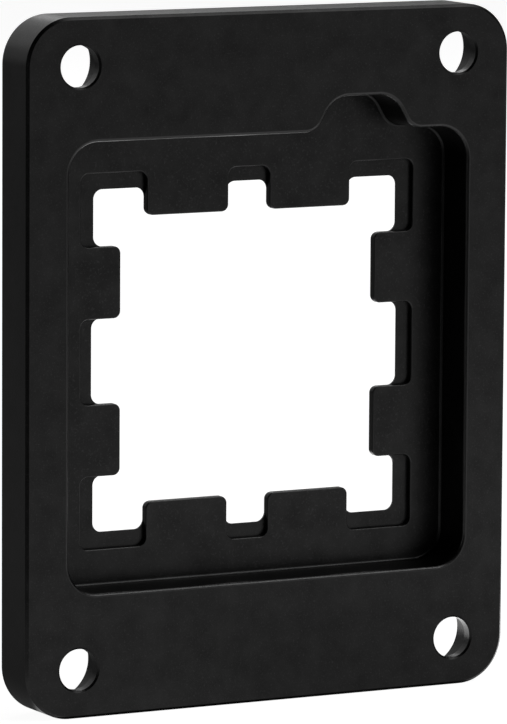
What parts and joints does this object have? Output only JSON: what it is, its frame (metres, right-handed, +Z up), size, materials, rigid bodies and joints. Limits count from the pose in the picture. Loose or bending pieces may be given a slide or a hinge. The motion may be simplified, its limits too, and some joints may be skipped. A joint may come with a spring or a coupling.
{
  "type": "processor socket retention frame",
  "caption": "Flat milled frame that holds a processor down in its socket, with a pocket on one side, a notched square window with inward tabs, and counterbored screw holes at the corners.",
  "frame": {"origin": "centre of the bounding box, at its lower edge, with the frame standing on its short side", "axes": "+Z up along the long side, +X across the plate, and -Y out of the side with the pocket"},
  "size_m": [0.0558, 0.006, 0.0715],
  "materials": {
    "black_anodised_aluminium": "bead-blasted and black anodised, matt"
  },
  "bodies": {
    "root": {"retention_frame": "black_anodised_aluminium"}
  },
  "joints": []
}
